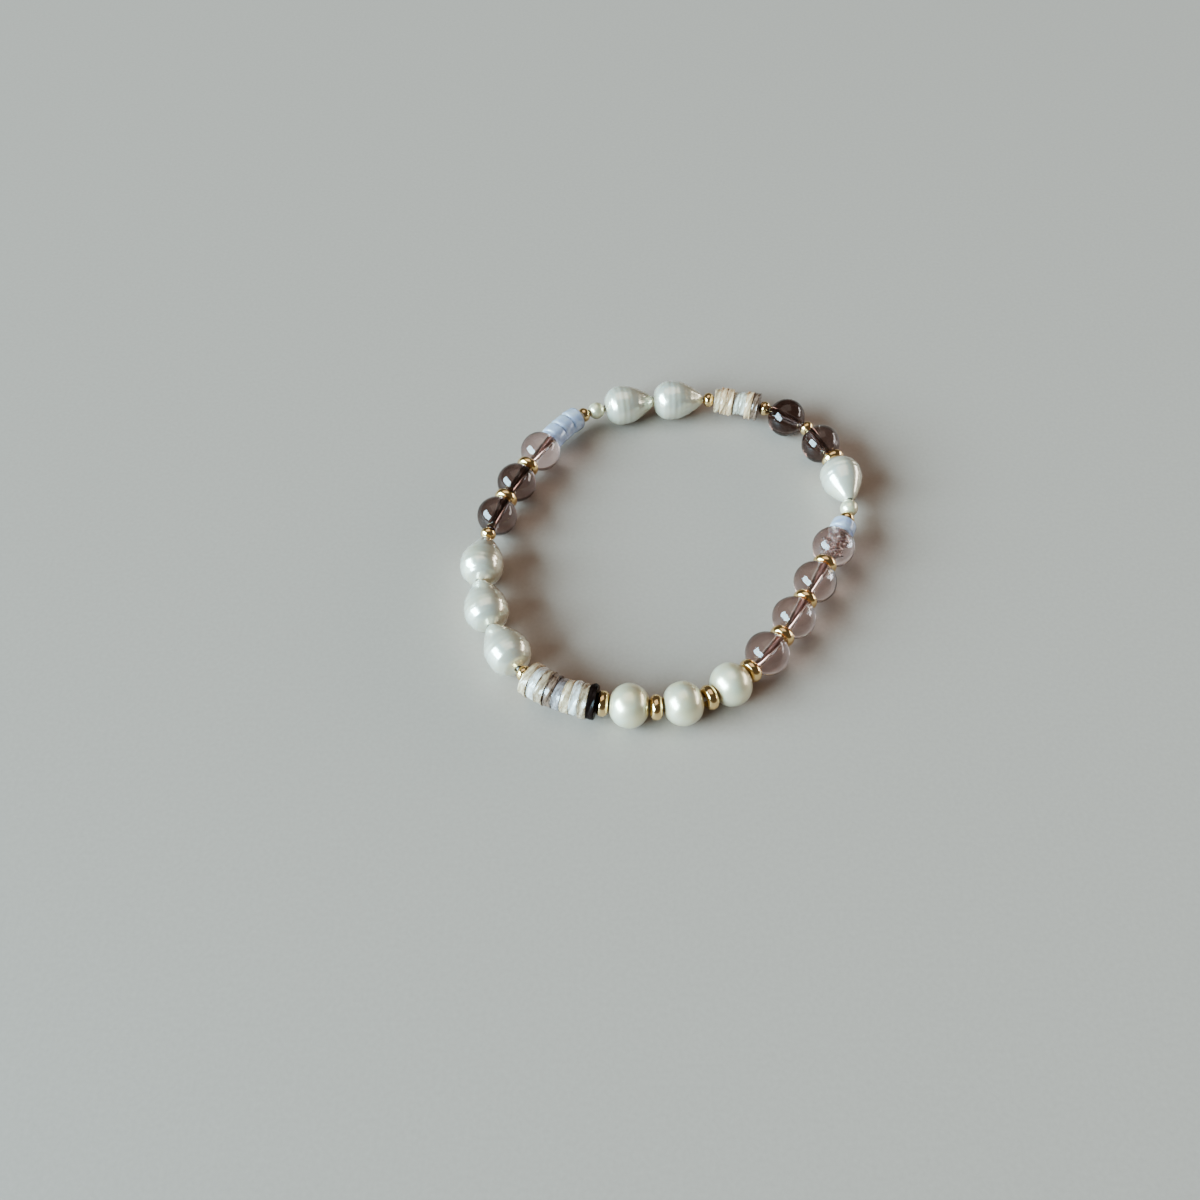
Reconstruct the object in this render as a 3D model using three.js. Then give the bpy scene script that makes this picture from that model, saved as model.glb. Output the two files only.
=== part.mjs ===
// A stretch bracelet of pearls, glass, shell discs and gold beads on one elastic cord.
// Millimetres, +Z up. The loop lies flat with its largest beads on z = 0, and the
// origin is on that surface, below the middle of the bracelet's outline.

import * as THREE from "three";

// Sizes of the beads: across is the diameter, length is measured along the cord
const PEARL_ACROSS = 6.4;
const PEARL_LENGTH = 5.75;
const DROP_ACROSS = 6.6;
const DROP_LENGTH = 8.3;
const SEED_PEARL_ACROSS = 2.8;
const SEED_PEARL_LENGTH = 2.6;
const GLASS_ACROSS = 6.5;
const GLASS_LENGTH = 6.1;
const SMOKY_ACROSS = 6.3;
const SMOKY_LENGTH = 6.0;
const BLUE_ACROSS = 4.0;
const BLUE_LENGTH = 2.1;
const BLUE_EDGE = 0.45;
const GOLD_RONDELLE_ACROSS = 3.7;
const GOLD_RONDELLE_LENGTH = 1.4;
const GOLD_BEAD_ACROSS = 2.4;
const GOLD_BEAD_LENGTH = 1.75;
const DISC_ACROSS = 5.2;
const DISC_LENGTH = 0.95;
const DISC_EDGE = 0.15;

// The cord, its room in each bore, and the air between neighbouring beads
const CORD_ACROSS = 0.6;
const CORD_CLEARANCE = 0.15;
const BEAD_GAP = 0.1;

// Facets round a bead and round the cord
const LARGE_SIDES = 16;
const MEDIUM_SIDES = 14;
const SMALL_SIDES = 12;
const CORD_SIDES = 8;

// The route of the string as it lies, seen from above and taken counter-clockwise.
// The first point is where the first bead starts. The whole route is then made
// larger or smaller until the beads just fill it.
const STRING_ROUTE = [
  [-9.0, -28.9], [2.3, -28.7], [11.4, -22.3], [17.8, -13.0],
  [23.2, -3.0], [27.2, 6.5], [25.6, 16.2], [20.4, 24.6],
  [9.6, 28.6], [-2.6, 28.4], [-13.4, 25.0], [-20.3, 15.8],
  [-25.0, 5.4], [-27.4, -5.4], [-25.4, -15.8], [-21.0, -23.4],
  [-16.0, -27.0],
];
const ROUTE_SAMPLES = 2400;
const FITTING_ROUNDS = 14;

// A drop pearl's outline from its narrow end: share of its length, share of its radius
const DROP_OUTLINE = [
  { along: 0.0, out: 0.23 },
  { along: 0.06, out: 0.36 },
  { along: 0.16, out: 0.54 },
  { along: 0.3, out: 0.77 },
  { along: 0.44, out: 0.93 },
  { along: 0.57, out: 1.0 },
  { along: 0.71, out: 1.0 },
  { along: 0.82, out: 0.91 },
  { along: 0.91, out: 0.72 },
  { along: 0.97, out: 0.48 },
  { along: 1.0, out: 0.26 },
];

function material(colour, roughness, metalness) {
  return new THREE.MeshStandardMaterial({ color: colour, roughness, metalness });
}

// Outlines

// A rounded bead from mouth to mouth, as [along, radius] points. An even number of
// points leaves a flat band round the middle, so one facet of it lies on the surface.
function roundOutline(across, length, bore, points) {
  const radius = across / 2;
  const mouth = Math.asin(bore / radius);
  const step = (Math.PI - 2 * mouth) / (points - 1);
  const halfLength = length / 2;
  const outline = [];
  for (let i = 0; i < points; i += 1) {
    const angle = mouth + i * step;
    const along = halfLength - (halfLength * Math.cos(angle)) / Math.cos(mouth);
    const out = i === 0 || i === points - 1 ? bore : (radius * Math.sin(angle)) / Math.cos(step / 2);
    outline.push([along, out]);
  }
  return outline;
}

// A rondelle: flat faces round the bore, and a rim rounded over its whole length
// with a flat band in its middle
function rondelleOutline(across, length, bore) {
  const radius = across / 2;
  const round = length / 2;
  const step = Math.PI / 5;
  const rim = [];
  for (let i = 0; i <= 5; i += 1) {
    const rise = Math.sin(i * step) / Math.sin(2 * step);
    rim.push([round - round * Math.cos(i * step), radius - round + round * rise]);
  }
  return [[0, bore], ...rim, [length, bore]];
}

// A drop pearl, narrow end first
function dropOutline(across, length, bore) {
  const body = DROP_OUTLINE.map(({ along, out }) => [along * length, (out * across) / 2]);
  return [[0, bore], ...body, [length, bore]];
}

// A flat disc with its two rims taken off
function discOutline(across, length, bore, edge) {
  const radius = across / 2;
  return [
    [0, bore],
    [0, radius - edge],
    [edge, radius],
    [length - edge, radius],
    [length, radius - edge],
    [length, bore],
  ];
}

// The kinds of bead. A kind that rests lies on the surface; the others are small
// and hang on the cord between their neighbours.
const KINDS = {
  pearl: {
    across: PEARL_ACROSS,
    length: PEARL_LENGTH,
    sides: LARGE_SIDES,
    rests: true,
    material: material(0xe9e6dc, 0.25, 0.0),
    outline: (across, length, bore) => roundOutline(across, length, bore, 8),
  },
  drop_pearl: {
    across: DROP_ACROSS,
    length: DROP_LENGTH,
    sides: LARGE_SIDES,
    rests: true,
    material: material(0xdcdcd6, 0.2, 0.0),
    outline: dropOutline,
  },
  seed_pearl: {
    across: SEED_PEARL_ACROSS,
    length: SEED_PEARL_LENGTH,
    sides: SMALL_SIDES,
    rests: false,
    material: material(0xe9e6dc, 0.25, 0.0),
    outline: (across, length, bore) => roundOutline(across, length, bore, 6),
  },
  rose_glass: {
    across: GLASS_ACROSS,
    length: GLASS_LENGTH,
    sides: LARGE_SIDES,
    rests: true,
    material: material(0x9a807c, 0.05, 0.0),
    outline: (across, length, bore) => roundOutline(across, length, bore, 8),
  },
  smoky_glass: {
    across: SMOKY_ACROSS,
    length: SMOKY_LENGTH,
    sides: LARGE_SIDES,
    rests: true,
    material: material(0x4a322b, 0.05, 0.0),
    outline: (across, length, bore) => roundOutline(across, length, bore, 8),
  },
  blue_rondelle: {
    across: BLUE_ACROSS,
    length: BLUE_LENGTH,
    sides: MEDIUM_SIDES,
    rests: false,
    material: material(0xa5b4d7, 0.2, 0.0),
    outline: (across, length, bore) => discOutline(across, length, bore, BLUE_EDGE),
  },
  gold_rondelle: {
    across: GOLD_RONDELLE_ACROSS,
    length: GOLD_RONDELLE_LENGTH,
    sides: SMALL_SIDES,
    rests: false,
    material: material(0xc8a55a, 0.2, 1.0),
    outline: rondelleOutline,
  },
  gold_bead: {
    across: GOLD_BEAD_ACROSS,
    length: GOLD_BEAD_LENGTH,
    sides: SMALL_SIDES,
    rests: false,
    material: material(0xc8a55a, 0.2, 1.0),
    outline: (across, length, bore) => roundOutline(across, length, bore, 6),
  },
};

// Shell discs differ in colour, and a little in size, as a share of DISC_ACROSS
function shellDisc(share, colour) {
  return {
    across: DISC_ACROSS * share,
    length: DISC_LENGTH,
    sides: MEDIUM_SIDES,
    rests: false,
    material: material(colour, 0.45, 0.0),
    outline: (across, length, bore) => discOutline(across, length, bore, DISC_EDGE),
  };
}

const CREAM = 0xdccbaa;
const PALE_BLUE = 0xc9d2de;
const TAN = 0xb9987a;
const BROWN = 0x5f4638;
const GREY_BLUE = 0x9aa2b2;
const PEACH = 0xdcae92;
const WHITE = 0xe8e4dc;
const BLACK_BROWN = 0x2c201c;

const BACK_DISCS = [
  shellDisc(0.88, BROWN),
  shellDisc(0.9, PEACH),
  shellDisc(0.75, WHITE),
  shellDisc(0.73, WHITE),
  shellDisc(0.88, PEACH),
  shellDisc(0.88, PEACH),
  shellDisc(0.76, CREAM),
];

const FRONT_DISCS = [
  shellDisc(1.0, CREAM),
  shellDisc(0.95, PALE_BLUE),
  shellDisc(0.98, TAN),
  shellDisc(0.93, BROWN),
  shellDisc(0.9, GREY_BLUE),
  shellDisc(0.93, CREAM),
  shellDisc(0.95, PALE_BLUE),
  shellDisc(0.97, TAN),
  shellDisc(0.97, BLACK_BROWN),
];

// The string, bead by bead, counter-clockwise from the front

function pick(name) {
  return { name, ...KINDS[name] };
}

function beadsOf(names) {
  return names.split(" ").map(pick);
}

const STRING = [
  ...beadsOf("pearl gold_rondelle pearl gold_rondelle pearl gold_rondelle"),
  ...beadsOf("rose_glass gold_rondelle rose_glass gold_rondelle rose_glass gold_rondelle"),
  ...beadsOf("rose_glass blue_rondelle gold_bead seed_pearl drop_pearl gold_rondelle"),
  ...beadsOf("smoky_glass gold_bead smoky_glass gold_bead"),
  ...BACK_DISCS.map((disc) => ({ name: "shell_disc", ...disc })),
  ...beadsOf("gold_bead drop_pearl drop_pearl seed_pearl gold_bead"),
  ...beadsOf("blue_rondelle blue_rondelle blue_rondelle"),
  ...beadsOf("rose_glass gold_rondelle smoky_glass gold_rondelle smoky_glass gold_bead"),
  ...beadsOf("drop_pearl drop_pearl drop_pearl gold_bead"),
  ...FRONT_DISCS.map((disc) => ({ name: "shell_disc", ...disc })),
  ...beadsOf("gold_rondelle"),
];

// Heights: a resting bead lies on one facet, and the cord runs level between the
// lowest and the highest of their middles. Each bore leaves the cord its clearance.

function restingHeight(bead) {
  return (bead.across / 2) * Math.cos(Math.PI / bead.sides);
}

const restingHeights = STRING.filter((bead) => bead.rests).map(restingHeight);
const CORD_HEIGHT = (Math.min(...restingHeights) + Math.max(...restingHeights)) / 2;

for (const bead of STRING) {
  bead.height = bead.rests ? restingHeight(bead) : CORD_HEIGHT;
  const room = CORD_ACROSS / 2 + CORD_CLEARANCE + Math.abs(bead.height - CORD_HEIGHT);
  bead.bore = room / Math.cos(Math.PI / bead.sides);
  bead.points = bead.outline(bead.across, bead.length, bead.bore);
}

// The route as many short straight steps

const routeCurve = new THREE.CatmullRomCurve3(
  STRING_ROUTE.map(([x, y]) => new THREE.Vector3(x, y, 0)),
  true,
  "centripetal",
);
const routeSamples = [];
for (let i = 0; i <= ROUTE_SAMPLES; i += 1) {
  routeSamples.push(routeCurve.getPoint(i / ROUTE_SAMPLES));
}

// The place on the route that is a straight distance away from a mark, where a mark
// is a sample's number with a fraction
function pointAt(mark) {
  const whole = Math.floor(mark);
  const start = routeSamples[whole % ROUTE_SAMPLES];
  const end = routeSamples[(whole % ROUTE_SAMPLES) + 1];
  return start.clone().lerp(end, mark - whole);
}

function stepAlong(mark, distance) {
  const from = pointAt(mark);
  let near = mark;
  let far = Math.floor(mark) + 1;
  while (pointAt(far).distanceTo(from) < distance) {
    near = far;
    far += 1;
  }
  const nearDistance = pointAt(near).distanceTo(from);
  const farDistance = pointAt(far).distanceTo(from);
  return near + ((far - near) * (distance - nearDistance)) / (farDistance - nearDistance);
}

// Beads on the route: each spans a straight stretch of it from mouth to mouth, and
// the gap after each bead is wide enough that its rims clear the next one's on the bend

function layOut(scale, gaps) {
  let mark = 0;
  const spans = STRING.map((bead, i) => {
    const start = mark;
    const end = stepAlong(start, bead.length / scale);
    mark = stepAlong(end, gaps[i] / scale);
    return {
      start: pointAt(start).multiplyScalar(scale),
      end: pointAt(end).multiplyScalar(scale),
    };
  });
  return { spans, used: mark / ROUTE_SAMPLES };
}

// How far a bead's mouth keeps back from the plane that halves a bend, so that no
// point of its outline comes nearer to the plane than half the gap
function keepBack(bead, halfBend, fromEnd) {
  const reach = bead.points.map(([along, out]) => {
    const behind = fromEnd ? bead.length - along : along;
    return out * Math.tan(halfBend) - behind;
  });
  return BEAD_GAP / 2 + Math.max(...reach);
}

function gapsFor(spans) {
  const headings = spans.map(({ start, end }) => end.clone().sub(start));
  return STRING.map((bead, i) => {
    const next = (i + 1) % STRING.length;
    const halfBend = headings[i].angleTo(headings[next]) / 2;
    return keepBack(bead, halfBend, true) + keepBack(STRING[next], halfBend, false);
  });
}

function fitToRoute() {
  let scale = 1;
  let gaps = STRING.map(() => BEAD_GAP);
  let laid = layOut(scale, gaps);
  for (let round = 0; round < FITTING_ROUNDS; round += 1) {
    scale *= laid.used;
    gaps = gapsFor(laid.spans);
    laid = layOut(scale, gaps);
  }
  return laid.spans;
}

// Solids

// A bead turned about local Y with its bore, one facet facing straight down
function beadGeometry(bead) {
  const loop = [...bead.points, bead.points[0]];
  const profile = loop.map(([along, out]) => new THREE.Vector2(out, along - bead.length / 2));
  return new THREE.LatheGeometry(profile, bead.sides, Math.PI / bead.sides);
}

function placeBead(mesh, bead, span) {
  const along = span.end.clone().sub(span.start).normalize();
  const up = new THREE.Vector3(0, 0, 1);
  const side = along.clone().cross(up);
  mesh.quaternion.setFromRotationMatrix(new THREE.Matrix4().makeBasis(side, along, up));
  mesh.position.copy(span.start).add(span.end).multiplyScalar(0.5);
  mesh.position.z = bead.height;
}

// The cord as a closed ring of straight stretches with a corner at each bead's mouth
function cordGeometry(spans) {
  const corners = spans.flatMap(({ start, end }) => [start, end]);
  const positions = [];
  corners.forEach((corner, i) => {
    const before = corners[(i + corners.length - 1) % corners.length];
    const after = corners[(i + 1) % corners.length];
    const arriving = corner.clone().sub(before).normalize();
    const leaving = after.clone().sub(corner).normalize();
    const heading = arriving.add(leaving).normalize();
    const side = heading.cross(new THREE.Vector3(0, 0, 1));
    for (let k = 0; k < CORD_SIDES; k += 1) {
      const angle = (2 * Math.PI * k) / CORD_SIDES;
      const out = (CORD_ACROSS / 2) * Math.cos(angle);
      const rise = (CORD_ACROSS / 2) * Math.sin(angle);
      positions.push(corner.x + side.x * out, corner.y + side.y * out, rise);
    }
  });
  const index = [];
  for (let i = 0; i < corners.length; i += 1) {
    const ring = i * CORD_SIDES;
    const nextRing = ((i + 1) % corners.length) * CORD_SIDES;
    for (let k = 0; k < CORD_SIDES; k += 1) {
      const nextSide = (k + 1) % CORD_SIDES;
      index.push(ring + k, nextRing + k, nextRing + nextSide);
      index.push(ring + k, nextRing + nextSide, ring + nextSide);
    }
  }
  const geometry = new THREE.BufferGeometry();
  geometry.setAttribute("position", new THREE.Float32BufferAttribute(positions, 3));
  geometry.setIndex(index);
  geometry.computeVertexNormals();
  return geometry;
}

// Assembly

const bracelet = new THREE.Group();
const spans = fitToRoute();
const counts = {};

STRING.forEach((bead, i) => {
  counts[bead.name] = (counts[bead.name] ?? 0) + 1;
  const mesh = new THREE.Mesh(beadGeometry(bead), bead.material);
  mesh.name = `${bead.name}_${counts[bead.name]}`;
  placeBead(mesh, bead, spans[i]);
  bracelet.add(mesh);
});

const cord = new THREE.Mesh(cordGeometry(spans), material(0xd8d8d4, 0.4, 0.0));
cord.name = "elastic_cord";
cord.position.z = CORD_HEIGHT;
bracelet.add(cord);

// The origin goes below the middle of the outline
const outlineBox = new THREE.Box3().setFromObject(bracelet, true);
const middle = outlineBox.getCenter(new THREE.Vector3());
bracelet.position.set(-middle.x, -middle.y, 0);

export default bracelet;
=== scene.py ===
# %% [markdown]
# A pearl and glass stretch bracelet
#
# The bracelet is a string of 57 beads on one elastic cord, laid down in a loose loop.
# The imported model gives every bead's place and size as a plain faceted solid. This
# lesson replaces each solid by a smooth, slightly uneven bead that sits in the same
# place, and gives each kind of bead the finish of the real thing.

import bpy
import numpy as np
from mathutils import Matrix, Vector


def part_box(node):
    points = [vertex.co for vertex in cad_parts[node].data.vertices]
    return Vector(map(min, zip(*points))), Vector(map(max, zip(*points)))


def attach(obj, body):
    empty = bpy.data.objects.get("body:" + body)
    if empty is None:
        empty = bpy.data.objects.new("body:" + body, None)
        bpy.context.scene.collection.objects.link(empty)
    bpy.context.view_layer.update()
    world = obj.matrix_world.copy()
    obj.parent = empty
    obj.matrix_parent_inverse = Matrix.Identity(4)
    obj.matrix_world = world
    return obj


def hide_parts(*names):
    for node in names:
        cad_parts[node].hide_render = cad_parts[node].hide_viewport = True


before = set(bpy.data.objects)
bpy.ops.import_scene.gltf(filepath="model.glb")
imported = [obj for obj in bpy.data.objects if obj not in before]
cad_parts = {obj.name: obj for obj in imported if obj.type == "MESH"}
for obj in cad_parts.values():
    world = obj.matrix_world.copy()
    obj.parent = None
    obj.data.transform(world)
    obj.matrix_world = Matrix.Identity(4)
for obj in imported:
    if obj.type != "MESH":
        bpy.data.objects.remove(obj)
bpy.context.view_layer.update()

MM = 0.001

# %% [markdown]
# The order of the beads
#
# The order of the beads is the real bracelet's pattern. It could be worked out from the
# places in the model, but a list can be read and checked, so it is written down here run
# by run, in the order in which the cord passes through the beads.

# %% The string's order
RUNS = [
    "pearl gold_rondelle pearl gold_rondelle pearl gold_rondelle",
    "rose_glass gold_rondelle rose_glass gold_rondelle rose_glass gold_rondelle",
    "rose_glass blue_rondelle gold_bead seed_pearl drop_pearl gold_rondelle",
    "smoky_glass gold_bead smoky_glass gold_bead",
    " ".join(["shell_disc"] * 7),
    "gold_bead drop_pearl drop_pearl seed_pearl gold_bead",
    "blue_rondelle blue_rondelle blue_rondelle",
    "rose_glass gold_rondelle smoky_glass gold_rondelle smoky_glass gold_bead",
    "drop_pearl drop_pearl drop_pearl gold_bead",
    " ".join(["shell_disc"] * 9),
    "gold_rondelle",
]
KINDS = " ".join(RUNS).split()
STRING = [f"{kind}_{KINDS[: i + 1].count(kind)}" for i, kind in enumerate(KINDS)]
print("beads on the string:", len(STRING))


def beads(kind):
    """The names of all beads of a kind, in the string's order."""
    return [name for name in STRING if name.rsplit("_", 1)[0] == kind]


# %% [markdown]
# Where each bead sits
#
# A drilled bead is a solid of revolution about its bore, and it lies level. Its place
# could be typed in, but measuring the solid keeps the two in step when a size changes.
# Seen from above, its corners spread differently along the bore and across it, so the
# two main directions of that spread are the bore and its square. The neighbours on the
# string say which of the two is the bore, and which way along it the string runs.

# %% A bead's seat, measured from its solid


class Seat:
    """A bead's middle, the level way along its bore, and its sizes, all in metres."""

    def __init__(self, node, before, after):
        low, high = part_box(node)
        co = np.empty(len(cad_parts[node].data.vertices) * 3)
        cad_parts[node].data.vertices.foreach_get("co", co)
        corners = np.unique(np.round(co.reshape(-1, 3), 7), axis=0)
        plan = corners[:, :2] - corners[:, :2].mean(0)
        heading = np.array(after[:2]) - np.array(before[:2])
        directions = np.linalg.eigh(plan.T @ plan)[1].T
        alignment = directions @ heading
        chosen = np.argmax(np.abs(alignment))
        along = directions[chosen] * np.sign(alignment[chosen])
        self.along = np.array([along[0], along[1], 0.0])
        self.side = np.array([along[1], -along[0], 0.0])
        self.up = np.array([0.0, 0.0, 1.0])
        reach = plan @ along
        self.length = np.ptp(reach)
        middle = corners[:, :2].mean(0) + along * (reach.max() + reach.min()) / 2
        self.middle = np.array([*middle, (low[2] + high[2]) / 2])
        across = plan @ self.side[:2]
        rise = corners[:, 2] - self.middle[2]
        out = np.hypot(across, rise)
        self.radius = out.max()
        self.bore = out.min()

    def place(self, along, out, turn):
        """Points at a way along the bore, a way out from it and a turn round it."""
        across = out * np.sin(turn)
        rise = out * np.cos(turn)
        return (
            self.middle
            + along[..., None] * self.along
            + across[..., None] * self.side
            + rise[..., None] * self.up
        )


centres = [sum(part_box(name), Vector()) / 2 for name in STRING]
seats = {
    name: Seat(name, centres[i - 1], centres[(i + 1) % len(STRING)])
    for i, name in enumerate(STRING)
}
for name in ("pearl_1", "drop_pearl_2", "gold_bead_1", "shell_disc_8"):
    seat = seats[name]
    print(name, "length", round(seat.length / MM, 2), "across", round(2 * seat.radius / MM, 2),
          "bore", round(2 * seat.bore / MM, 2))


# %% [markdown]
# Beads that press on each other
#
# The solids keep a hair of air between beads, so that none overlap. On the real string
# the elastic pulls the shell discs into one stack, and the tip of a drop sits in the
# end of the next. Two neighbours of a kind may therefore grow until their faces meet
# halfway, and the faces of discs lean, so that the stack closes round the bend.

# %% How far a bead reaches towards its neighbours
HAIR = 0.012 * MM
PACKED_KINDS = ("shell_disc", "drop_pearl", "blue_rondelle")


def reach_towards(name, other):
    """Reach and lean of a face: half the way between the middles less a hair, and the
    tangent of half the angle between the two bores."""
    seat, next_seat = seats[name], seats[other]
    kind = name.rsplit("_", 1)[0]
    if kind not in PACKED_KINDS or not other.startswith(kind):
        return seat.length / 2, 0.0
    reach = np.linalg.norm(seat.middle - next_seat.middle) / 2 - HAIR
    angle = np.arccos(np.clip(seat.along @ next_seat.along, -1, 1))
    return reach, 0.0 if kind == "drop_pearl" else np.tan(angle / 2)


for i, name in enumerate(STRING):
    seats[name].back = reach_towards(name, STRING[i - 1])
    seats[name].front = reach_towards(name, STRING[(i + 1) % len(STRING)])
print("reach of shell_disc_9 to the next, mm:", round(seats["shell_disc_9"].front[0] / MM, 3))

# %% [markdown]
# From a grid of points to a mesh
#
# Every bead here is a closed outline carried once round its bore, so its surface is a
# grid that closes on itself both ways, like a ring. A Screw modifier could turn the
# outline too, but a grid of points can be uneven, and it gives the bead a map as well.
# One function makes the mesh, and the sign of its volume says which way the faces look.

# %% Mesh helpers
NEAR_END = 0.75


def ring_mesh(name, points):
    """A mesh from a grid of points (outline, round, xyz) that closes both ways.

    Face (i, j) joins points (i, j), (i+1, j), (i+1, j+1), (i, j+1), counted round.
    Six times the volume is the sum of a . (b x c) over the triangles, and must be > 0.
    The map "around" gives each corner its share of the way round, and of the outline.
    """
    rows, columns = points.shape[:2]
    number = np.arange(rows * columns).reshape(rows, columns)
    below = np.roll(number, -1, axis=0)
    corners = [number, below, np.roll(below, -1, axis=1), np.roll(number, -1, axis=1)]
    quads = np.stack(corners, -1).reshape(-1, 4)
    flat = points.reshape(-1, 3)
    local = flat - flat.mean(0)
    a, b, c, d = (local[quads[:, k]] for k in range(4))
    volume = np.sum(a * np.cross(b, c)) + np.sum(a * np.cross(c, d))
    mesh = bpy.data.meshes.new(name)
    if volume < 0:
        quads = quads[:, ::-1]
    mesh.from_pydata(flat.tolist(), [], quads.tolist())
    row, column = np.divmod(quads, columns)
    u = column / columns
    v = row / rows
    # A face that closes the ring starts near 1 and ends at 0, which is 1 there
    u = np.where((u == 0) & (u.max(1, keepdims=True) > NEAR_END), 1.0, u)
    v = np.where((v == 0) & (v.max(1, keepdims=True) > NEAR_END), 1.0, v)
    uv = mesh.uv_layers.new(name="around")
    uv.data.foreach_set("uv", np.stack([u, v], -1).ravel())
    mesh.polygons.foreach_set("use_smooth", np.ones(len(quads), bool))
    mesh.update()
    return mesh


def piece_from(name, points, finish, slot, *nodes):
    """A finished piece: its object at the origin, its place in its mesh."""
    mesh = ring_mesh(name, points)
    mesh.materials.append(finish.material)
    piece = bpy.data.objects.new(name, mesh)
    bpy.context.scene.collection.objects.link(piece)
    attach(piece, "root")
    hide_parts(*nodes)


# %% [markdown]
# Outlines
#
# A polished bead has no hard edge: even its drilled mouth is a little round. So each
# outline is an outer curve, a small quarter round into the bore at each end, and the
# bore between them. It could be drawn by hand as a curve, but as a formula it follows
# the size of each solid. Outlines are pairs of arrays: the way along, and the way out.

# %% Outline functions
MOUTH_ROUND = 0.1 * MM
MOUTH_ROWS = 4
BORE_ROWS = 7
BEAD_ROWS = 56
SMALL_BEAD_ROWS = 36
FACE_ROWS = 9
CORNER_ROWS = 6


def close_outline(seat, along, out, bore_rows=BORE_ROWS):
    """Close an outer curve, which runs from mouth to mouth, through the bore.

    Each mouth is a quarter circle of radius m about (L/2 - m, bore + m):
    along = L/2 - m + m sin t, out = bore + m - m cos(t), t from 90 to 0 degrees.
    """
    m = MOUTH_ROUND
    turn = np.linspace(np.pi / 2, 0, MOUTH_ROWS + 1)[1:]
    mouth_along = seat.length / 2 - m + m * np.sin(turn)
    mouth_out = seat.bore + m - m * np.cos(turn)
    bore_along = np.linspace(mouth_along[-1], -mouth_along[-1], bore_rows + 2)[1:-1]
    bore_out = np.full_like(bore_along, seat.bore)
    return (
        np.concatenate([along, mouth_along, bore_along, -mouth_along[::-1]]),
        np.concatenate([out, mouth_out, bore_out, mouth_out[::-1]]),
    )


def round_outline(seat, count=BEAD_ROWS, fullness=2.0, bore_rows=BORE_ROWS):
    """A rounded bead: along = -(L/2) cos t / cos t0, out = R sin(t) ^ (2 / fullness)."""
    first = np.arcsin(((seat.bore + MOUTH_ROUND) / seat.radius) ** (fullness / 2))
    t = np.linspace(first, np.pi - first, count)
    along = -seat.length / 2 * np.cos(t) / np.cos(first)
    out = seat.radius * np.sin(t) ** (2 / fullness)
    return close_outline(seat, along, out, bore_rows)


def rondelle_outline(seat, bulge, thickness, count=40):
    """A ring: a half ellipse of the thickness round the rim, and dished faces.

    The rim is fuller than the faces by the bulge, because round beads leave it room.
    """
    half = seat.length / 2
    t = np.linspace(0, np.pi, count)
    rim_along = -(half + bulge) * np.cos(t)
    rim_out = seat.radius - thickness + thickness * np.sin(t)
    face = np.linspace(0, 1, 8)[:-1]
    face_out = seat.bore + MOUTH_ROUND + face * (rim_out[0] - seat.bore - MOUTH_ROUND)
    face_along = half + bulge * face**2
    along = np.concatenate([-face_along, rim_along, face_along[::-1]])
    out = np.concatenate([face_out, rim_out, face_out[::-1]])
    return close_outline(seat, along, out)


def disc_outline(seat, edge, rim_rows=0):
    """Flat faces and a straight rim, with edges rounded to a quarter circle."""
    half = seat.length / 2
    face = np.linspace(seat.bore + MOUTH_ROUND, seat.radius - edge, FACE_ROWS + 1)[:-1]
    t = np.linspace(0, np.pi / 2, CORNER_ROWS)
    corner_along = -half + edge - edge * np.cos(t)
    corner_out = seat.radius - edge + edge * np.sin(t)
    rim_along = np.linspace(corner_along[-1], -corner_along[-1], rim_rows + 2)[1:-1]
    rim_out = np.full_like(rim_along, seat.radius)
    flat = np.full_like(face, half)
    along = np.concatenate([-flat, corner_along, rim_along, -corner_along[::-1], flat])
    out = np.concatenate([face, corner_out, rim_out, corner_out[::-1], face[::-1]])
    return close_outline(seat, along, out)


def smooth_through(knots, values, t):
    """A cubic through the knots, whose slope at each is the mean slope about it."""
    slope = np.gradient(values, knots)
    i = np.clip(np.searchsorted(knots, t) - 1, 0, len(knots) - 2)
    width = knots[i + 1] - knots[i]
    s = (t - knots[i]) / width
    return (
        (1 + 2 * s) * (1 - s) ** 2 * values[i]
        + s * (1 - s) ** 2 * width * slope[i]
        + s**2 * (3 - 2 * s) * values[i + 1]
        + s**2 * (s - 1) * width * slope[i + 1]
    )


print("points in a pearl's outline:", len(round_outline(seats["pearl_1"])[0]))

# %% [markdown]
# The outline of a drop pearl
#
# A drop pearl grows to no formula: it has a narrow end, a long straight shoulder and a
# full round end. A stretched ball would be too plump at the narrow end, so its half
# width is given at twelve places, and a smooth cubic runs through them.

# %% The outline of a drop
# A drop's half width from its narrow end, as shares of its length and radius
DROP_ALONG = np.array([0.0, 0.06, 0.16, 0.3, 0.44, 0.57, 0.64, 0.71, 0.82, 0.91, 0.97, 1.0])
DROP_OUT = np.array([0.23, 0.37, 0.55, 0.77, 0.93, 0.995, 1.005, 0.995, 0.91, 0.73, 0.49, 0.20])


def drop_outline(seat, count=90):
    """A drop pearl, narrow end first, through its listed half widths."""
    share = (1 - np.cos(np.linspace(0, np.pi, count))) / 2
    along = (share - 0.5) * seat.length
    out = seat.radius * smooth_through(DROP_ALONG, DROP_OUT, share)
    return close_outline(seat, along, np.maximum(out, seat.bore + MOUTH_ROUND))


print("a drop is widest at", DROP_ALONG[DROP_OUT.argmax()], "of its length")

# %% [markdown]
# Unevenness
#
# Nothing strung here is perfectly round. A pearl swells and dips a little, a drop pearl
# carries faint rings, and a shell disc is broken from a shell and ground, so its rim
# wanders and has chips. Noise could move the points as well, but a few sine waves with
# seeded phases give a chosen number of swells round the bead, and the same ones each run.

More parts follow.
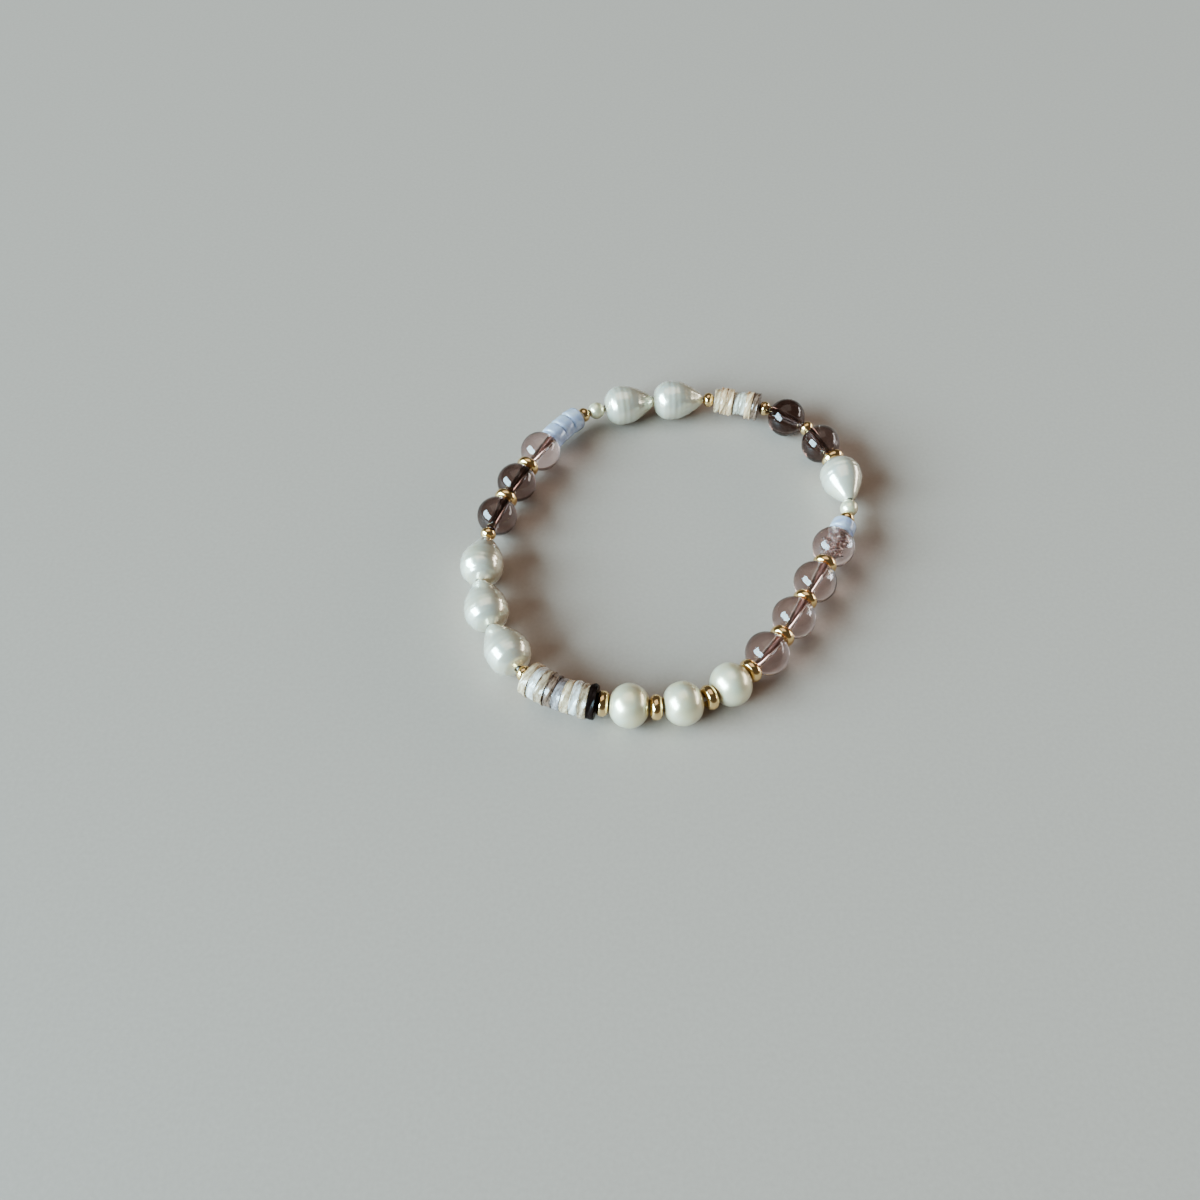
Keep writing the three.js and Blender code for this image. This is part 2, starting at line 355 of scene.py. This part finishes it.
# %% Turn an outline round the bore, with unevenness
rng = np.random.default_rng(57)


def waves(turn, along, amounts):
    """A sum of sines: amount sin(k turn + l along + phase), with a seeded phase each."""
    total = np.zeros(np.broadcast(turn, along).shape)
    for amount, around_waves, along_waves in amounts:
        phase = rng.uniform(0, 2 * np.pi)
        total += amount * np.sin(around_waves * turn + along_waves * along + phase)
    return total


def turned(seat, outline, sides, unevenness=(), packed=False):
    """Carry the outline round: point (i, j) is out_i (1 + wave) at turn_j, along_i.

    The wave fades to nothing at the bore, so that the mouths stay round. A packed
    bead's way along is stretched to reach + across x lean towards each neighbour.
    """
    along, out = outline
    turn = np.arange(sides) / sides * 2 * np.pi
    along, out, turn = along[:, None], out[:, None], turn[None, :]
    depth = np.clip((out - seat.bore) / (seat.radius - seat.bore), 0, 1)
    wave = waves(turn, along / seat.length * 2 * np.pi, unevenness)
    out = out * (1 + wave * depth)
    if packed:
        across = out * np.sin(turn)
        share = along / (seat.length / 2)
        front = seat.front[0] + across * seat.front[1]
        back = seat.back[0] + across * seat.back[1]
        along = share * np.where(share > 0, front, back)
    return seat.place(np.broadcast_to(along, out.shape), out, np.broadcast_to(turn, out.shape))


plain_grid = turned(seats["pearl_1"], round_outline(seats["pearl_1"]), 72)
print("a pearl's grid:", plain_grid.shape[0], "by", plain_grid.shape[1], "points")

# %% [markdown]
# Writing materials as sums
#
# A finish is easier to read as a formula than as a web of nodes. The small class below
# stands for one socket, and + - * / on it add the Math nodes. The Finish class makes a
# material, adds any other node in one call, and sets what goes into the shader.

# %% Shader helpers


class Value:
    """One number of a material, read from a node's socket."""

    def __init__(self, finish, socket):
        self.finish = finish
        self.socket = socket

    def _math(self, operation, first, second):
        return self.finish.add("ShaderNodeMath", {"operation": operation}, {0: first, 1: second})

    def __add__(self, other):
        return self._math("ADD", self, other)

    def __sub__(self, other):
        return self._math("SUBTRACT", self, other)

    def __rsub__(self, other):
        return self._math("SUBTRACT", other, self)

    def __mul__(self, other):
        return self._math("MULTIPLY", self, other)

    def __truediv__(self, other):
        return self._math("DIVIDE", self, other)

    def clamp(self, low, high):
        return self._math("MINIMUM", self._math("MAXIMUM", self, low), high)


class Finish:
    """A procedural material with one Principled shader."""

    def __init__(self, name):
        self.material = bpy.data.materials.new(name)
        self.material.use_nodes = True
        self.nodes = self.material.node_tree.nodes
        self.links = self.material.node_tree.links
        self.nodes.clear()
        self.output = self.nodes.new("ShaderNodeOutputMaterial")
        self.shader = self.nodes.new("ShaderNodeBsdfPrincipled")
        self.links.new(self.shader.outputs[0], self.output.inputs["Surface"])

    def put(self, socket, value):
        if isinstance(value, Value):
            self.links.new(value.socket, socket)
        elif isinstance(value, tuple) and len(value) == 3 and len(socket.default_value) == 4:
            socket.default_value = (*value, 1.0)
        else:
            socket.default_value = value

    def add(self, kind, settings=None, inputs=None, output=0):
        """Add one node: its settings first, then its inputs. Gives one of its outputs."""
        node = self.nodes.new(kind)
        for setting, value in (settings or {}).items():
            setattr(node, setting, value)
        for socket, value in (inputs or {}).items():
            self.put(node.inputs[socket], value)
        return Value(self, node.outputs[output])

    def set(self, **values):
        """Set the shader's sockets, named with _ for a space."""
        for name, value in values.items():
            self.put(self.shader.inputs[name.replace("_", " ")], value)

    def place(self):
        return self.add("ShaderNodeTexCoord", output="Object")

    def noise(self, size, detail=3.0, distortion=0.0, at=None):
        """Noise whose lumps are about size metres across, from 0 to 1."""
        where = at or self.place()
        inputs = {"Vector": where, "Scale": 1 / size, "Detail": detail, "Distortion": distortion}
        return self.add("ShaderNodeTexNoise", inputs=inputs, output=0)

    def mix(self, factor, first, second):
        """A colour between two colours."""
        inputs = {"Factor": factor, 6: first, 7: second}
        return self.add("ShaderNodeMix", {"data_type": "RGBA"}, inputs, output=2)

    def share(self, way):
        """The share of the way round (way 0) or along the outline (way 1), from the map."""
        around = self.add("ShaderNodeUVMap", {"uv_map": "around"})
        return self.add("ShaderNodeSeparateXYZ", inputs={"Vector": around}, output=way)

    def bump(self, height, distance, strength):
        inputs = {"Height": height, "Distance": distance, "Strength": strength}
        self.set(Normal=self.add("ShaderNodeBump", inputs=inputs))


# %% [markdown]
# Pearl
#
# Nacre is many clear layers over a chalky core. Light enters, scatters softly and comes
# back cream, while the outer layer gives a sharp gloss over it with a faint tint of
# thin film. So the shader has a soft, half metallic base with some scattering below, a
# clear coat, and slow drifts of cream, grey and rose in the base colour.

# %% Nacre finishes


def nacre(name, colours, roughness, coat, coat_roughness, grain):
    """A nacre finish from its warm, cool and blush colours and its gloss."""
    warm, cool, blush = colours
    finish = Finish(name)
    drift = finish.noise(3.2 * MM, detail=2.0, distortion=0.6)
    patches = finish.noise(2.0 * MM, detail=1.0)
    body = finish.mix((drift * 2.2 - 0.6).clamp(0, 1), warm, cool)
    colour = finish.mix((patches * 1.6 - 0.55).clamp(0, 0.5), body, blush)
    finish.set(
        Base_Color=colour,
        Metallic=0.5,
        Roughness=(patches * 0.08 + (roughness - 0.04)).clamp(0.05, 1),
        IOR=1.6,
        Subsurface_Weight=0.2,
        Subsurface_Radius=(1.0, 0.8, 0.6),
        Subsurface_Scale=0.8 * MM,
        Coat_Weight=coat,
        Coat_Roughness=coat_roughness,
        Coat_IOR=1.6,
        Thin_Film_Thickness=420.0,
        Thin_Film_IOR=1.45,
    )
    skin = finish.noise(0.9 * MM, detail=1.0)
    finish.bump(skin + patches, 0.010 * MM, grain)
    return finish


PEARL_COLOURS = ((0.83, 0.70, 0.43), (0.80, 0.75, 0.58), (0.83, 0.69, 0.49))
DROP_COLOURS = ((0.78, 0.68, 0.50), (0.70, 0.675, 0.58), (0.77, 0.66, 0.54))
pearl_finish = nacre(
    "pearl_nacre", PEARL_COLOURS, roughness=0.30, coat=0.9, coat_roughness=0.20, grain=0.01
)
drop_finish = nacre(
    "drop_nacre", DROP_COLOURS, roughness=0.25, coat=1.0, coat_roughness=0.11, grain=0.02
)
print("nacre finishes:", pearl_finish.material.name, drop_finish.material.name)

# %% [markdown]
# The pearls on the string
#
# Three kinds of pearl sit on the string: large round ones that are a little flat at the
# bore, drops, and tiny seed pearls. A ball from the menu would be too perfect and has no
# bore, so each is an outline turned round its own bore, with small waves of its own.

# %% Pearls, drops and seed pearls
PEARL_WAVES = [(0.006, 1, 1), (0.005, 2, 1), (0.004, 3, 2), (0.002, 5, 3)]
DROP_WAVES = [(0.010, 1, 1), (0.008, 2, 1), (0.005, 3, 2), (0.004, 0, 9), (0.003, 1, 6)]
SEED_WAVES = [(0.012, 1, 1), (0.010, 2, 1), (0.008, 3, 2)]
BEAD_SIDES = 72
DROP_SIDES = 80
SMALL_BEAD_SIDES = 48

for name in beads("pearl"):
    outline = round_outline(seats[name], fullness=2.15)
    points = turned(seats[name], outline, BEAD_SIDES, PEARL_WAVES)
    piece_from(name.replace("pearl", "round_pearl"), points, pearl_finish, "pearl", name)

for name in beads("drop_pearl"):
    outline = drop_outline(seats[name])
    points = turned(seats[name], outline, DROP_SIDES, DROP_WAVES, packed=True)
    piece_from(name.replace("drop_pearl", "nacre_drop"), points, drop_finish, "drop_pearl", name)

for name in beads("seed_pearl"):
    outline = round_outline(seats[name], SMALL_BEAD_ROWS)
    points = turned(seats[name], outline, SMALL_BEAD_SIDES, SEED_WAVES)
    piece_from(name.replace("seed_pearl", "seed"), points, pearl_finish, "pearl", name)
print("pearls made:", sum("pearl" in name for name in STRING))

# %% [markdown]
# Glass
#
# The clear beads are polished glass, some rose, some a dark smoky brown. Light goes in,
# bends and comes out tinted, and it shows the bore as a line through the bead. The
# mesh is closed and holds its real bore, so the shader needs full transmission, a tint
# and the bending of glass; the ground bore wall also gets a darker colour, partly painted
# shade along the bore. One rose bead is crackled: its bore wall is broken into hollows,
# and dark lines run through them.

# %% Glass finishes
GLASS_ROWS = 96
CHIPPED_BORE_ROWS = 48
SHARP_STEP = 400.0
CRACK_SPACING = 0.65 * MM


def clear_glass(name, pale, deep, bore_and_shade_colour, bore_rows=BORE_ROWS, crackle=0.0):
    """Tinted glass whose bore wall is ground: rougher, and of a darker colour of its own that is
    partly painted shade along the bore.
    """
    finish = Finish(name)
    swirl = finish.noise(2.4 * MM, detail=2.0, distortion=1.5)
    body = finish.mix((swirl * 2.0 - 0.5).clamp(0, 1), pale, deep)
    bore_starts = (GLASS_ROWS + MOUTH_ROWS / 2) / (GLASS_ROWS + 2 * MOUTH_ROWS + bore_rows)
    in_bore = ((finish.share(1) - bore_starts) * SHARP_STEP).clamp(0, 1)
    # Painted shade: the bore wall's darker colour is partly its ground surface and partly stands
    # for the shade seen along the bore.
    body = finish.mix(in_bore, body, bore_and_shade_colour)
    if crackle:
        cracks = finish.add(
            "ShaderNodeTexVoronoi",
            {"feature": "DISTANCE_TO_EDGE"},
            {"Vector": finish.place(), "Scale": 1 / CRACK_SPACING},
        )
        line = (1 - cracks * 7.0).clamp(0, 1) * in_bore * crackle
        body = finish.mix(line, body, (0.02, 0.004, 0.003))
    finish.set(
        Base_Color=body,
        Roughness=in_bore * (0.12 + 0.2 * crackle) + 0.02,
        IOR=1.5,
        Transmission_Weight=1.0,
    )
    finish.bump(finish.noise(0.9 * MM, detail=2.0), 0.02 * MM, 0.015)
    return finish


# Each glass: the pale and the deep colour of its body, and the darker colour of its bore, partly
# painted shade
ROSE = ((0.83, 0.64, 0.61), (0.72, 0.56, 0.535), (0.50, 0.30, 0.27))
CRACKLED_ROSE = ((0.93, 0.74, 0.71), (0.83, 0.63, 0.60), (0.84, 0.58, 0.52))
SMOKY = ((0.28, 0.185, 0.165), (0.20, 0.125, 0.11), (0.22, 0.14, 0.12))
rose_finish = clear_glass("rose_glass", *ROSE)
smoky_finish = clear_glass("smoky_glass", *SMOKY)
crackled_finish = clear_glass(
    "rose_glass_crackled", *CRACKLED_ROSE, bore_rows=CHIPPED_BORE_ROWS, crackle=1.0
)
print("glass finishes:", rose_finish.material.name, smoky_finish.material.name)

# %% [markdown]
# The clear beads
#
# The clear beads are polished balls with a straight bore, which shows as a band through
# the glass. The band could be painted on, but light bends round a real hollow, so the
# mesh keeps it; the wall of the hollow is still coloured a little darker, as painted shade
# along the band. The crackled bead's hollow is the same bore with its wall pushed out in
# waves, which needs no second piece.

# %% Glass beads
GLASS_SIDES = 128
GLASS_WAVES = [(0.004, 2, 1), (0.003, 3, 1)]
CRACKLED = "rose_glass_4"
CHIP_DEPTH = 1.0 * MM
CHIP_WAVES = [(0.2, 3, 3), (0.17, 5, -7), (0.15, 7, 11), (0.12, 11, -16)]


def chip_bore(seat, points):
    """Push the bore's wall out by depth x sin(pi s) x (0.45 + waves), s along it."""
    first = GLASS_ROWS + MOUTH_ROWS
    rows = slice(first, first + CHIPPED_BORE_ROWS)
    wall = points[rows]
    share = (np.arange(CHIPPED_BORE_ROWS)[:, None] + 0.5) / CHIPPED_BORE_ROWS
    turn = np.arange(wall.shape[1])[None, :] / wall.shape[1] * 2 * np.pi
    rough = waves(turn, share * 2 * np.pi, CHIP_WAVES)
    push = CHIP_DEPTH * np.sin(np.pi * share) * np.clip(0.45 + rough, 0, 1)
    outward = np.sin(turn)[..., None] * seat.side + np.cos(turn)[..., None] * seat.up
    points[rows] = wall + push[..., None] * outward
    return points


for name in beads("rose_glass"):
    crackled = name == CRACKLED
    bore_rows = CHIPPED_BORE_ROWS if crackled else BORE_ROWS
    outline = round_outline(seats[name], GLASS_ROWS, bore_rows=bore_rows)
    points = turned(seats[name], outline, GLASS_SIDES, GLASS_WAVES)
    if crackled:
        points = chip_bore(seats[name], points)
    finish = crackled_finish if crackled else rose_finish
    piece_from(name.replace("rose_glass", "rose_bead"), points, finish, "rose_glass", name)

for name in beads("smoky_glass"):
    outline = round_outline(seats[name], GLASS_ROWS)
    points = turned(seats[name], outline, GLASS_SIDES, GLASS_WAVES)
    new_name = name.replace("smoky_glass", "smoky_bead")
    piece_from(new_name, points, smoky_finish, "smoky_glass", name)
print("glass beads made:", len(beads("rose_glass")), "rose,", len(beads("smoky_glass")), "smoky")

# %% [markdown]
# Milky blue rondelles
#
# These are short drums of cloudy periwinkle glass: light scatters inside and glows at
# the thin rim. A volume could scatter it, but is slow and grainy in so small a piece, so
# the shader blends see-through glass with scattering below the surface.

# %% Blue rondelles
blue_finish = Finish("milky_blue_glass")
cloud = blue_finish.noise(1.2 * MM, detail=3.0, distortion=0.4)
cloudiness = (cloud * 2 - 0.5).clamp(0, 1)
blue_finish.set(
    Base_Color=blue_finish.mix(cloudiness, (0.54, 0.59, 0.77), (0.87, 0.87, 0.93)),
    Roughness=0.16,
    IOR=1.5,
    Transmission_Weight=0.55,
    Subsurface_Weight=0.7,
    Subsurface_Radius=(0.9, 0.9, 1.0),
    Subsurface_Scale=1.4 * MM,
    Coat_Weight=0.8,
    Coat_Roughness=0.05,
)
blue_finish.bump(cloud, 0.01 * MM, 0.3)

BLUE_EDGE = 0.45 * MM
BLUE_WAVES = [(0.008, 1, 0), (0.006, 2, 1)]
RING_SIDES = 64
for name in beads("blue_rondelle"):
    outline = disc_outline(seats[name], BLUE_EDGE)
    points = turned(seats[name], outline, RING_SIDES, BLUE_WAVES, packed=True)
    new_name = name.replace("blue_rondelle", "milky_rondelle")
    piece_from(new_name, points, blue_finish, "blue_glass", name)
print("blue rondelles made:", len(beads("blue_rondelle")))

# %% [markdown]
# Gold spacers
#
# The rondelles and small beads are bright plated metal. A metal of one colour and gloss
# would look printed, because real polish isn't perfect: fine handling marks make the
# gloss vary a little, and shallow dents bend the reflections. A rondelle's rim is fuller
# than its faces, because the round beads beside it leave it room.

# %% Gold spacers
DEEP_GOLD = (0.90, 0.64, 0.31)
PALE_GOLD = (0.98, 0.76, 0.44)
gold_finish = Finish("polished_gold")
marks = gold_finish.noise(0.25 * MM, detail=4.0)
tarnish = gold_finish.noise(1.5 * MM, detail=2.0)
gold_finish.set(
    Base_Color=gold_finish.mix((tarnish * 2 - 0.5).clamp(0, 1), DEEP_GOLD, PALE_GOLD),
    Metallic=1.0,
    Roughness=(marks * 0.16 + 0.06).clamp(0.05, 1),
)
gold_finish.bump(marks + tarnish * 2.0, 0.006 * MM, 0.12)

RIM_BULGE = 0.17 * MM
RIM_THICKNESS = 0.8 * MM
for name in beads("gold_rondelle"):
    outline = rondelle_outline(seats[name], RIM_BULGE, RIM_THICKNESS)
    points = turned(seats[name], outline, RING_SIDES, [(0.005, 2, 0), (0.004, 3, 1)])
    new_name = name.replace("gold_rondelle", "gilt_rondelle")
    piece_from(new_name, points, gold_finish, "gold", name)
for name in beads("gold_bead"):
    outline = round_outline(seats[name], SMALL_BEAD_ROWS)
    points = turned(seats[name], outline, SMALL_BEAD_SIDES, [(0.008, 2, 0), (0.006, 3, 1)])
    piece_from(name.replace("gold_bead", "gilt_bead"), points, gold_finish, "gold", name)
print("spacers made:", len(beads("gold_rondelle")) + len(beads("gold_bead")))

# %% [markdown]
# Shell
#
# Shell grows in thin layers, light and dark, and a disc cut across them shows them as
# fine bands on its rim. Bands in space would run through all discs alike, so these read
# Shell grows in thin layers, light and dark, and a disc cut across them shows them as
# fine bands on its rim. Bands in space would run through all discs alike, so these read
# the piece's own map: round the rim they close on themselves, and a slow drift in space
# shifts them from disc to disc. A finer mottle and a thin gloss lie over them, and each
# rim is coloured darker towards its edges as painted shade where the discs meet.

# %% Shell finishes
SHELLS = {
    "brown": ((0.030, 0.014, 0.009), (0.24, 0.145, 0.10)),
    "cream": ((0.33, 0.20, 0.11), (0.67, 0.51, 0.34)),
    "grey": ((0.14, 0.105, 0.095), (0.34, 0.29, 0.29)),
    "peach": ((0.44, 0.25, 0.13), (0.69, 0.47, 0.29)),
    "white": ((0.39, 0.32, 0.245), (0.66, 0.60, 0.50)),
    "pale_blue": ((0.44, 0.34, 0.245), (0.70, 0.66, 0.63)),
    "tan": ((0.18, 0.105, 0.06), (0.48, 0.35, 0.235)),
    "black": ((0.006, 0.003, 0.0025), (0.020, 0.011, 0.009)),
}
RIM_ROWS = 12
DISC_ROWS = 2 * (FACE_ROWS + CORNER_ROWS + MOUTH_ROWS) + RIM_ROWS + BORE_ROWS
RIM_MIDDLE = (FACE_ROWS + CORNER_ROWS + (RIM_ROWS - 1) / 2) / DISC_ROWS
RIM_HALF = (RIM_ROWS + 1) / 2 / DISC_ROWS


def shell(name, dark, light, gloss):
    """Shell between a dark and a light colour. Across the rim, across runs -1 to 1."""
    finish = Finish(f"shell_{name}")
    turn = finish.share(0) * (2 * np.pi)
    across = (finish.share(1) - RIM_MIDDLE) / RIM_HALF
    drift = finish.noise(2.5 * MM, detail=2.0)
    circle = {
        "X": finish.add("ShaderNodeMath", {"operation": "COSINE"}, {0: turn}),
        "Y": finish.add("ShaderNodeMath", {"operation": "SINE"}, {0: turn}),
        "Z": across * 2.6 + drift * 8.0,
    }
    layers = finish.noise(0.9, detail=3.0, at=finish.add("ShaderNodeCombineXYZ", inputs=circle))
    mottle = finish.noise(0.7 * MM, detail=4.0, distortion=0.6)
    # Painted shade: the rim is coloured darker towards both of its edges, where the discs meet.
    edge = (across * across).clamp(0, 1)
    blend = (layers * 3.4 + mottle * 1.6 - 1.75 - edge * 0.25).clamp(0, 1)
    finish.set(
        Base_Color=finish.mix(blend, dark, light),
        Roughness=(mottle * 0.4 + 0.08).clamp(0.08, 1),
        Subsurface_Weight=0.0 if name in ("black", "brown") else 0.2,
        Subsurface_Radius=(1.0, 0.7, 0.5),
        Subsurface_Scale=0.4 * MM,
        Specular_IOR_Level=0.5 * gloss,
        Coat_Weight=0.8 * gloss,
        Coat_Roughness=0.07,
    )
    finish.bump(layers + mottle, 0.035 * MM, 0.7)
    return finish


shell_finishes = {
    name: shell(name, *colours, gloss=0.1 if name == "black" else 1.0)
    for name, colours in SHELLS.items()
}
print("shell finishes:", ", ".join(shell_finishes))

# %% [markdown]
# Shell discs
#
# Each disc is a slice of shell, ground round by hand, with a sharp edge and small chips.
# The discs could all share one mesh, but then every chip would repeat along the stack,
# so each is turned anew with the same amounts and fresh phases.

# %% Shell discs
DISC_COLOURS = (
    "brown peach white white peach peach cream "
    "cream pale_blue tan brown grey cream pale_blue tan black"
).split()
CHIPS = [(0.030, 1, 0), (0.022, 2, 1), (0.014, 3, 0), (0.010, 5, 1), (0.006, 9, 2)]
DISC_EDGE = 0.07 * MM
DISC_SIDES = 96
for name, colour in zip(beads("shell_disc"), DISC_COLOURS):
    outline = disc_outline(seats[name], DISC_EDGE, RIM_ROWS)
    points = turned(seats[name], outline, DISC_SIDES, CHIPS, packed=True)
    new_name = name.replace("shell_disc", "disc")
    piece_from(new_name, points, shell_finishes[colour], f"shell_{colour}", name)
print("shell discs made:", len(DISC_COLOURS))

# %% [markdown]
# The elastic cord
#
# A clear elastic runs through every bore. It shows only in the thin gaps and, bent by
# the glass, inside the clear beads. A curve with a round bevel could make it, but its
# bends would be soft. The real cord is tight: it runs straight through each bead and
# turns at the mouths, so it is a tube of circles set at all the mouths.

# %% Cord
cord_low, cord_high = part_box("elastic_cord")
cord_radius = (cord_high[2] - cord_low[2]) / 2
cord_height = (cord_high[2] + cord_low[2]) / 2
mouths = np.array([
    seats[name].middle + way * seats[name].along * seats[name].length / 2
    for name in STRING
    for way in (-1, 1)
])
mouths[:, 2] = cord_height


def cord_points(path, radius, sides=12):
    """Circles of the radius about each point of a closed level path, square to it."""
    heading = np.roll(path, -1, axis=0) - np.roll(path, 1, axis=0)
    heading /= np.linalg.norm(heading, axis=1, keepdims=True)
    side = np.cross(heading, (0.0, 0.0, 1.0))
    turn = np.arange(sides) / sides * 2 * np.pi
    offset = side[:, None] * np.cos(turn)[None, :, None]
    offset = offset + np.array([0.0, 0.0, 1.0]) * np.sin(turn)[None, :, None]
    return path[:, None] + radius * offset


cord_finish = Finish("clear_elastic")
haze = cord_finish.noise(0.8 * MM)
cord_finish.set(
    Base_Color=cord_finish.mix(haze, (0.62, 0.60, 0.57), (0.78, 0.77, 0.74)),
    Roughness=0.35,
    Subsurface_Weight=0.3,
    Subsurface_Radius=(1.0, 1.0, 1.0),
    Subsurface_Scale=0.3 * MM,
)
STRETCH_THINNING = 0.9
cord_grid = cord_points(mouths, cord_radius * STRETCH_THINNING)
piece_from("elastic", cord_grid, cord_finish, "cord", "elastic_cord")
steps = np.linalg.norm(np.roll(mouths, -1, axis=0) - mouths, axis=1)
print("cord length", round(steps.sum() / MM, 1), "mm")

# %% [markdown]
# The surface
#
# The bracelet lies on a plain pale surface with a very fine grain. A plain square is
# enough for it, and it is made wide, so that no view from the side shows its edge near.

# %% Floor
FLOOR_SIZE = 80.0
floor_mesh = bpy.data.meshes.new("floor")
half = FLOOR_SIZE / 2
floor_corners = [(-half, -half, 0), (half, -half, 0), (half, half, 0), (-half, half, 0)]
floor_mesh.from_pydata(floor_corners, [], [(0, 1, 2, 3)])
floor = bpy.data.objects.new("floor", floor_mesh)
bpy.context.scene.collection.objects.link(floor)
floor_finish = Finish("pale_surface")
grain = floor_finish.noise(0.6 * MM, detail=3.0)
floor_finish.set(
    Base_Color=floor_finish.mix(grain, (0.368, 0.288, 0.24), (0.425, 0.335, 0.28)),
    Roughness=0.55,
)
floor_finish.bump(grain, 0.02 * MM, 0.3)
floor_mesh.materials.append(floor_finish.material)
print("floor", FLOOR_SIZE, "m square")

# %% [markdown]
# Light
#
# The main light is a wide window low on the left, which puts one soft highlight on the
# left of every bead and lets the shadows fall to the right. It is cool, and a weak warm
# light from above, a pale card on the right and a dim warm surround fill the rest. A sky
# picture could light the scene too, but rectangles give clean highlights on the pearls.

# %% Lights


def area_light(name, place, size, power, colour):
    """A soft rectangle of light, of a size in metres, that faces the origin."""
    light = bpy.data.lights.new(name, "AREA")
    light.shape = "RECTANGLE"
    light.size, light.size_y = size
    light.energy = power
    light.color = colour
    lamp = bpy.data.objects.new(name, light)
    lamp.location = place
    lamp.rotation_euler = (-Vector(place)).to_track_quat("-Z", "Y").to_euler()
    bpy.context.scene.collection.objects.link(lamp)


area_light("window", (-6.40, -2.56, 3.04), (7.04, 4.00), 2752, (0.55, 0.84, 1.0))
area_light("above", (-1.2, 3.6, 14.4), (14.4, 12.0), 480, (1.0, 0.93, 0.84))
area_light("card", (5.52, 1.80, 1.28), (4.8, 1.2), 128, (1.0, 0.98, 0.95))

# The surround's colour at the sine of a height above the horizon
SURROUND = [(0.04, (0.17, 0.155, 0.135)), (0.35, (0.10, 0.09, 0.076))]
world = bpy.data.worlds.new("surround")
world.use_nodes = True
surround = world.node_tree
direction = surround.nodes.new("ShaderNodeTexCoord")
height = surround.nodes.new("ShaderNodeSeparateXYZ")
walls = surround.nodes.new("ShaderNodeValToRGB")
for element, (rise, colour) in zip(walls.color_ramp.elements, SURROUND):
    element.position = rise
    element.color = (*colour, 1.0)
surround.links.new(direction.outputs["Generated"], height.inputs[0])
surround.links.new(height.outputs[2], walls.inputs["Fac"])
surround.links.new(walls.outputs["Color"], surround.nodes["Background"].inputs["Color"])
bpy.context.scene.world = world
print("lights placed")

# %% [markdown]
# Camera
#
# The camera looks down at about 53 degrees from close by, so near beads look larger than
# far ones. Its place and lens come from a fit: the places of the beads in the picture
# were measured, and the camera was moved until the model's beads fell on them.

# %% Camera
ELEVATION = np.radians(52.63)
DISTANCE = 176.4 * MM
AIM = Vector((-10.46 * MM, -12.05 * MM, 3.0 * MM))
IMAGE_WIDTH = 1200
FOCAL_PIXELS = 1185.8
back = Vector((0.0, -np.cos(ELEVATION), np.sin(ELEVATION)))
camera_data = bpy.data.cameras.new("camera")
camera_data.sensor_width = 36.0
camera_data.lens = camera_data.sensor_width * FOCAL_PIXELS / IMAGE_WIDTH
camera_data.clip_start = 0.01
camera = bpy.data.objects.new("camera", camera_data)
camera.location = AIM + back * DISTANCE
camera.rotation_euler = (-back).to_track_quat("-Z", "Y").to_euler()
bpy.context.scene.collection.objects.link(camera)
bpy.context.scene.camera = camera
print("lens", round(camera_data.lens, 2), "mm")

# %% [markdown]
# The picture's contrast
#
# The last cell picks a slightly stronger contrast for the picture.

bpy.context.scene.view_settings.look = "AgX - Medium High Contrast"
